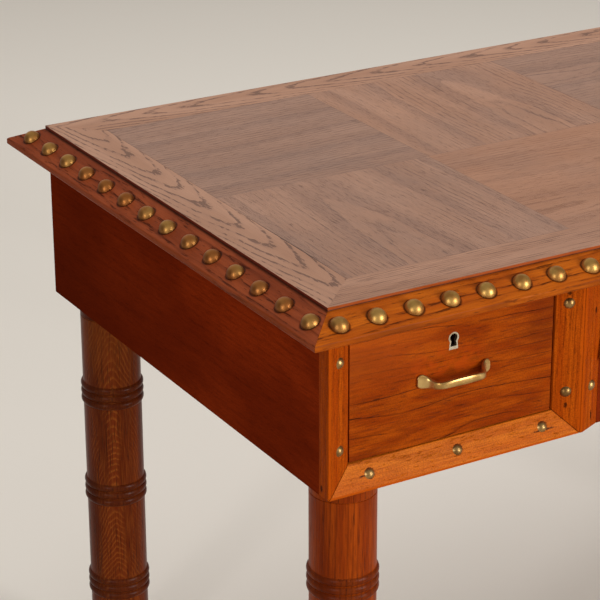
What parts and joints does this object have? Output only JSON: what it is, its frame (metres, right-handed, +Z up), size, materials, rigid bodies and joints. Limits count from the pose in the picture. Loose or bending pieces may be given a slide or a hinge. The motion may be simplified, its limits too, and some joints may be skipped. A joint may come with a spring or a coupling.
{
  "type": "campaign desk",
  "caption": "Free-standing writing desk with a studded, bevelled parquetry top, a drawer in each of three bays, and turned legs that unscrew.",
  "frame": {"origin": "on the floor under the middle of the desk", "axes": "+Z up, -Y out of the front with its drawers, +X to the right along the length when facing the drawers"},
  "size_m": [1.37, 0.776, 0.77],
  "materials": {
    "parquet_oak_lengthwise": "matt aged oak, open grain along the desk",
    "parquet_oak_crosswise": "matt aged oak, open grain across the desk",
    "border_oak": "matt aged oak border, open grain",
    "moulding_wood": "varnished orange-brown hardwood",
    "stud_brass": "aged brass, polished by handling",
    "pin_brass": "aged brass, domed",
    "strip_wood": "varnished orange-brown hardwood",
    "leg_wood": "varnished dark hardwood",
    "drawer_front_wood": "varnished figured hardwood",
    "handle_brass": "cast brass, satin",
    "keyhole_nickel": "worn nickel silver",
    "lock_brass": "dull brass",
    "drawer_lining_wood": "bare pale wood, hand-planed",
    "panel_wood": "varnished dark red-brown hardwood",
    "inner_wood": "bare wood, unfinished"
  },
  "bodies": {
    "carcass": {"top_core": "inner_wood", "parquet_crosswise": "parquet_oak_crosswise", "parquet_lengthwise": "parquet_oak_lengthwise", "top_border_front": "border_oak", "bevel_moulding_front": "moulding_wood", "top_border_right": "border_oak", "bevel_moulding_right": "moulding_wood", "top_border_back": "border_oak", "bevel_moulding_back": "moulding_wood", "top_border_left": "border_oak", "bevel_moulding_left": "moulding_wood", "bevel_studs": "stud_brass", "end_panel_left": "panel_wood", "end_panel_right": "panel_wood", "back_panel": "panel_wood", "partition_left": "panel_wood", "partition_right": "panel_wood", "top_rail": "inner_wood", "side_rails": "inner_wood", "centre_rail": "inner_wood", "front_stiles": "inner_wood", "drawer_runners": "inner_wood", "leg_blocks": "inner_wood", "leg_collars": "leg_wood", "left_bay_strip_left": "strip_wood", "left_bay_strip_right": "strip_wood", "left_bay_strip_bottom": "strip_wood", "centre_bay_strip_left": "strip_wood", "centre_bay_strip_right": "strip_wood", "centre_bay_strip_bottom": "strip_wood", "right_bay_strip_left": "strip_wood", "right_bay_strip_right": "strip_wood", "right_bay_strip_bottom": "strip_wood", "strip_pins": "pin_brass", "leg_front_left": "leg_wood", "leg_front_right": "leg_wood", "leg_back_left": "leg_wood", "leg_back_right": "leg_wood"},
    "drawer_left": {"drawer_left_front": "drawer_front_wood", "drawer_left_sides": "drawer_lining_wood", "drawer_left_back": "drawer_lining_wood", "drawer_left_bottom": "drawer_lining_wood", "drawer_left_handle": "handle_brass", "drawer_left_escutcheon": "keyhole_nickel", "drawer_left_lock": "lock_brass"},
    "drawer_centre": {"drawer_centre_front": "drawer_front_wood", "drawer_centre_sides": "drawer_lining_wood", "drawer_centre_back": "drawer_lining_wood", "drawer_centre_bottom": "drawer_lining_wood", "drawer_centre_handle": "handle_brass", "drawer_centre_escutcheon": "keyhole_nickel", "drawer_centre_lock": "lock_brass"},
    "drawer_right": {"drawer_right_front": "drawer_front_wood", "drawer_right_sides": "drawer_lining_wood", "drawer_right_back": "drawer_lining_wood", "drawer_right_bottom": "drawer_lining_wood", "drawer_right_handle": "handle_brass", "drawer_right_escutcheon": "keyhole_nickel", "drawer_right_lock": "lock_brass"}
  },
  "joints": [
    {"name": "drawer_left_slide", "type": "slide", "parent": "carcass", "child": "drawer_left", "axis": [0, -1, 0], "range_m": [0, 0.38]},
    {"name": "drawer_centre_slide", "type": "slide", "parent": "carcass", "child": "drawer_centre", "axis": [0, -1, 0], "range_m": [0, 0.38]},
    {"name": "drawer_right_slide", "type": "slide", "parent": "carcass", "child": "drawer_right", "axis": [0, -1, 0], "range_m": [0, 0.38]}
  ]
}
